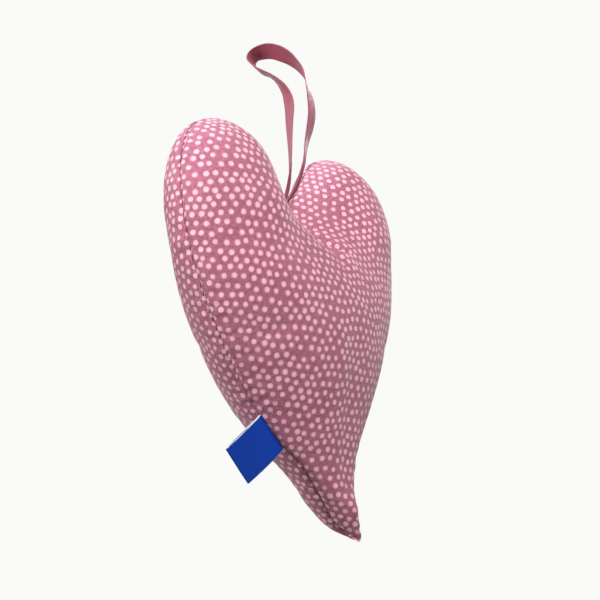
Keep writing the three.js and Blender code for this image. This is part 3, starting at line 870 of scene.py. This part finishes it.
forwards, rise, turn = smooth_route(RIBBON_ROUTE, ROUTE_STEPS).T
tail_rise = np.linspace(-TAIL_DEPTH, 0, TAIL_STEPS + 1)[:-1]
forwards = np.pad(forwards, TAIL_STEPS, mode="edge")
rise = np.concatenate([tail_rise, rise, tail_rise[::-1]])
turn = np.pad(np.radians(turn), TAIL_STEPS)
line_ribbon = CLEFT_EXIT + np.stack([np.zeros(len(rise)), -forwards, rise], axis=-1)
along = np.gradient(line_ribbon, axis=0)
along /= np.linalg.norm(along, axis=1)[:, None]
outward = np.stack([np.zeros(len(rise)), along[:, 2], -along[:, 1]], axis=-1)
edge = np.array([-1.0, 0, 0]) * np.cos(turn)[:, None] + outward * np.sin(turn)[:, None]
face = np.cross(along, edge)
# In the cleft the ribbon is pleated: its legs stand to and fro, and lie flat again higher up.
unfolded = np.clip(rise / UNFOLDED_AT, 0, 1)
unfolded = unfolded**2 * (3 - 2 * unfolded)
pleat = PLEAT_TURN * (1 - unfolded)
sense = np.repeat([1, -1] * (PLEATS // 2), ACROSS // PLEATS)
ways = edge[:, None] * np.cos(pleat)[:, None, None] + face[:, None] * (
    np.sin(pleat)[:, None, None] * sense[None, :, None]
)
legs = np.cumsum(ways * (RIBBON_WIDTH / ACROSS), axis=1)
legs = np.concatenate([np.zeros((len(rise), 1, 3)), legs], axis=1)
strip = line_ribbon[:, None] + legs - legs.mean(axis=1, keepdims=True)
across = np.gradient(strip, axis=1)
lengthwise = np.gradient(strip, axis=0)
ribbon_normal = np.cross(lengthwise, across)
ribbon_normal /= np.maximum(np.linalg.norm(ribbon_normal, axis=2), 1e-9)[..., None]
upper = strip + ribbon_normal * RIBBON_THICKNESS / 2
lower = strip - ribbon_normal * RIBBON_THICKNESS / 2


def closed_strip(name, upper, lower, across_mm, along_mm):
    """A closed strip of tape from its two faces, with its own width and length as its UV map."""
    rows = np.concatenate([upper, lower[:, ::-1]], axis=1)
    count, width = rows.shape[:2]
    index = np.arange(count * width).reshape(count, width)
    beside = np.roll(index, -1, axis=1)
    squares = np.stack([index[:-1], beside[:-1], beside[1:], index[1:]], axis=-1).reshape(-1, 4)
    faces = [tuple(square) for square in squares]
    half = width // 2
    for row, sense in ((index[0], 1), (index[-1], -1)):
        for k in range(half - 1):
            square = (row[k], row[width - 1 - k], row[width - 2 - k], row[k + 1])
            faces.append(square[::sense])
    piece = new_mesh(name, rows.reshape(-1, 3), faces)
    edit = bmesh.new()
    edit.from_mesh(piece.data)
    bmesh.ops.recalc_face_normals(edit, faces=edit.faces[:])
    tape = edit.loops.layers.uv.new("tape")
    u = np.concatenate([across_mm, across_mm[::-1]])
    for facet in edit.faces:
        for loop in facet.loops:
            row, column = divmod(loop.vert.index, width)
            loop[tape].uv = (u[column], along_mm[row])
    edit.to_mesh(piece.data)
    edit.free()
    return piece


ribbon_steps = np.linalg.norm(np.diff(line_ribbon, axis=0), axis=1)
ribbon_run = np.concatenate([[0], np.cumsum(ribbon_steps)])
ribbon_across = np.linspace(0, RIBBON_WIDTH, ACROSS + 1)
ribbon = closed_strip("satin_ribbon", upper, lower, ribbon_across, ribbon_run)
to_model_frame(ribbon)


def satin_material():
    """Lengthwise floats that catch the light, crossed by faint wefts."""
    satin, tree, shader = new_material("burgundy_satin")
    tape = add_node(tree, "ShaderNodeUVMap", uv_map="tape").outputs[0]
    across = add_node(tree, "ShaderNodeSeparateXYZ", {0: tape}).outputs["X"]
    stretch = add_node(tree, "ShaderNodeMapping", {"Vector": tape, "Scale": (9.0, 0.9, 1.0)})
    floats = add_node(
        tree, "ShaderNodeTexNoise", {"Vector": stretch.outputs[0], "Scale": 1.0, "Detail": 3.0}
    ).outputs["Fac"]
    weft = add_node(
        tree, "ShaderNodeTexWave", {"Vector": tape, "Scale": 0.9, "Distortion": 0.6},
        bands_direction="Y",
    ).outputs["Fac"]
    tint = colour_mix(tree, floats, (0.260, 0.040, 0.072, 1), (0.360, 0.078, 0.115, 1))
    # the woven edges are a shade deeper
    off = maths(tree, "ABSOLUTE", maths(tree, "SUBTRACT", across, RIBBON_WIDTH / 2))
    rim = add_node(tree, "ShaderNodeMapRange", {
        "Value": off, "From Min": RIBBON_WIDTH / 2 - 0.5, "From Max": RIBBON_WIDTH / 2 - 0.2,
    })
    feed(tree, shader.inputs, {
        "Base Color": colour_mix(tree, rim.outputs[0], tint, (0.72, 0.66, 0.70, 1), "MULTIPLY"),
        "Roughness": 0.42,
        "Anisotropic": 0.6,
        "Sheen Weight": 0.15,
        "Sheen Tint": (1.0, 0.72, 0.78, 1),
        "Normal": relief(tree, maths(tree, "ADD", floats, weft), SATIN_RELIEF),
    })
    return satin


ribbon.data.materials.append(satin_material())
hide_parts("ribbon_tails", "ribbon_loop")
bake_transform(ribbon)

# The side label
# A short length of blue woven tape, folded in half and caught by its two ends in the left seam.
# Its front is a close blue weave and its sides are heat-cut, so that pale warp ends show there.
# It is bare on every side, and it bends where it leaves the seam.

LABEL_WIDTH = 14.0
LABEL_LENGTH = 15.5
LABEL_LAYER = 0.25
LABEL_GAP = 0.2
LABEL_TAIL = 6.2
LABEL_TURN = 0.45
LEG_POINTS = 60
TURN_POINTS = 13
LABEL_COLUMNS = 29
TAPE_RELIEF = 0.08
LABEL_LEAN = math.radians(22)
LABEL_GAPE = 0.35
LABEL_CURL = 0.35
LABEL_PIVOT = np.array([-23.312, -0.184, -134.098]) + HOOK_SEAT
seam_down = np.array([0.6192, -0.1047, -0.7782])
label_out = np.array([-0.782, 0.0, -0.623])
label_out -= seam_down * (label_out @ seam_down)
label_out /= np.linalg.norm(label_out)
label_back = np.cross(label_out, -seam_down)

half_gap = (LABEL_LAYER + LABEL_GAP) / 2
leg = np.linspace(-LABEL_TAIL, LABEL_LENGTH - LABEL_TURN, LEG_POINTS)
bow = np.linspace(0, math.pi, TURN_POINTS + 2)[1:-1]
fold_out = np.concatenate([leg, leg[-1] + half_gap * np.sin(bow), leg[::-1]])
fold_back = half_gap * np.concatenate([np.ones(LEG_POINTS), np.cos(bow), -np.ones(LEG_POINTS)])
label_across = np.linspace(-LABEL_WIDTH / 2, LABEL_WIDTH / 2, LABEL_COLUMNS)
# It leans back over the first millimetre or so outside the seam.
lean = LABEL_LEAN * np.clip(fold_out / 1.5 + 0.5, 0, 1)
away = np.clip(fold_out, 0, None) / LABEL_LENGTH
belly = np.sign(fold_back) * LABEL_GAPE * np.sin(math.pi * np.clip(away, 0, 1))
label_rows = []
for across in label_across:
    # the two leaves gape, most at the cut sides, and the folded end curls a little
    opened = belly * (0.4 + 0.6 * abs(across) / (LABEL_WIDTH / 2))
    warp = LABEL_CURL * away**2 * math.sin(across / 5.2 + 0.6) + opened
    outwards = fold_out * np.cos(lean) - (fold_back + warp) * np.sin(lean)
    backwards = fold_out * np.sin(lean) + (fold_back + warp) * np.cos(lean)
    row = LABEL_PIVOT + outwards[:, None] * label_out + backwards[:, None] * label_back
    label_rows.append(row + seam_down * across)
sheet = np.stack(label_rows, axis=1)
sheet_normal = np.cross(np.gradient(sheet, axis=0), np.gradient(sheet, axis=1))
sheet_normal /= np.linalg.norm(sheet_normal, axis=2)[..., None]
label_steps = np.hypot(np.diff(fold_out), np.diff(fold_back))
label_run = np.concatenate([[0], np.cumsum(label_steps)])
label = closed_strip(
    "woven_label", sheet + sheet_normal * LABEL_LAYER / 2, sheet - sheet_normal * LABEL_LAYER / 2,
    label_across + LABEL_WIDTH / 2, label_run,
)
to_model_frame(label)


def tape_material():
    """A close blue weave of picks and warp, with the warp's pale ends at both cut sides."""
    tape, tree, shader = new_material("blue_woven_tape")
    own = add_node(tree, "ShaderNodeUVMap", uv_map="tape").outputs[0]
    across = add_node(tree, "ShaderNodeSeparateXYZ", {0: own}).outputs["X"]
    picks = add_node(
        tree, "ShaderNodeTexWave",
        {"Vector": own, "Scale": 1.1, "Distortion": 0.4, "Detail Scale": 2.0}, bands_direction="Y",
    ).outputs["Fac"]
    warp = add_node(
        tree, "ShaderNodeTexWave", {"Vector": own, "Scale": 1.6}, bands_direction="X"
    ).outputs["Fac"]
    fuzz = add_node(
        tree, "ShaderNodeTexNoise", {"Vector": own, "Scale": 1.7, "Detail": 4.0}
    ).outputs["Fac"]
    blue = colour_mix(tree, fuzz, (0.0, 0.040, 0.370, 1), (0.001, 0.062, 0.470, 1))
    shaded = colour_mix(tree, picks, blue, (0.7, 0.72, 0.8, 1), "MULTIPLY")
    # the warp ends show in a thin, ragged line
    off = maths(tree, "ABSOLUTE", maths(tree, "SUBTRACT", across, LABEL_WIDTH / 2))
    ends = add_node(tree, "ShaderNodeMapRange", {
        "Value": maths(tree, "MULTIPLY_ADD", fuzz, 0.35, off),
        "From Min": LABEL_WIDTH / 2 - 0.02, "From Max": LABEL_WIDTH / 2 + 0.12,
    })
    feed(tree, shader.inputs, {
        "Base Color": colour_mix(tree, ends.outputs[0], shaded, (0.70, 0.72, 0.62, 1)),
        "Roughness": 0.55,
        "Specular IOR Level": 0.15,
        "Normal": relief(tree, maths(tree, "MULTIPLY", picks, warp), TAPE_RELIEF),
    })
    return tape


label.data.materials.append(tape_material())
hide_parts("label_tails", "label_flap")
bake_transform(label)

# The room
# A plain pale floor some way under the hanging sachet, a pale surround, and three soft lamps: one
# high in front and to the left, and a weaker one behind on each side.

FLOOR_LEVEL = -0.46
FLOOR_REACH = 6.0
FLOOR_GLOW = 0.66
SURROUND_LIGHT = 0.13
LAMP_SIZE = 0.45


def plain_view(tree):
    """One where the camera, a reflection or a clear piece looks at the room, and zero for light."""
    path = add_node(tree, "ShaderNodeLightPath").outputs
    seen = maths(tree, "MAXIMUM", path["Is Camera Ray"], path["Is Glossy Ray"])
    return maths(tree, "MAXIMUM", seen, path["Is Transmission Ray"])


def floor_material():
    """Pale, and paler still where it is looked at, over the shade that its diffuse part keeps."""
    pale, tree, matt = new_material("pale_floor")
    feed(tree, matt.inputs, {"Base Color": (0.86, 0.86, 0.85, 1), "Roughness": 0.9})
    strength = maths(tree, "MULTIPLY", plain_view(tree), FLOOR_GLOW)
    glow = add_node(tree, "ShaderNodeEmission", {"Color": (1.0, 1.0, 0.99, 1), "Strength": strength})
    both = add_node(tree, "ShaderNodeAddShader", {0: matt.outputs[0], 1: glow.outputs[0]})
    feed(tree, tree.nodes["Material Output"].inputs, {"Surface": both.outputs[0]})
    return pale


floor_corners = [
    (x * FLOOR_REACH, y * FLOOR_REACH, FLOOR_LEVEL) for x, y in ((-1, -1), (1, -1), (1, 1), (-1, 1))
]
floor = new_mesh("floor", floor_corners, [(0, 1, 2, 3)])
floor.data.materials.append(floor_material())

world = bpy.data.worlds.new("surround")
world.use_nodes = True
bpy.context.scene.world = world
room = world.node_tree
light = room.nodes["Background"]
feed(room, light.inputs, {"Color": (0.97, 0.98, 1.0, 1), "Strength": SURROUND_LIGHT})
seen = add_node(room, "ShaderNodeBackground", {"Color": (0.955, 0.955, 0.945, 1)})
mixed = add_node(
    room, "ShaderNodeMixShader", {"Fac": plain_view(room), 1: light.outputs[0], 2: seen.outputs[0]}
)
feed(room, room.nodes["World Output"].inputs, {"Surface": mixed.outputs[0]})


def soft_light(name, place, aim_height, power, spread):
    """A round lamp of this power in watts, aimed over or under the hook's seat by this much."""
    lamp = bpy.data.objects.new(name, bpy.data.lights.new(name, "AREA"))
    lamp.data.shape = "DISK"
    lamp.data.size = LAMP_SIZE
    lamp.data.energy = power
    lamp.data.spread = math.radians(spread)
    lamp.location = place
    aim = Vector((0, 0, aim_height)) - Vector(place)
    lamp.rotation_euler = aim.to_track_quat("-Z", "Y").to_euler()
    bpy.context.scene.collection.objects.link(lamp)


soft_light("overhead", (-0.28, -0.38, 0.28), 0.03, 0.79, 50)
soft_light("left_fill", (-0.6, 0.30, 0.30), -0.03, 0.8, 55)
soft_light("right_fill", (0.6, 0.25, 0.25), -0.06, 0.6, 50)

bpy.context.scene.view_settings.view_transform = "Standard"
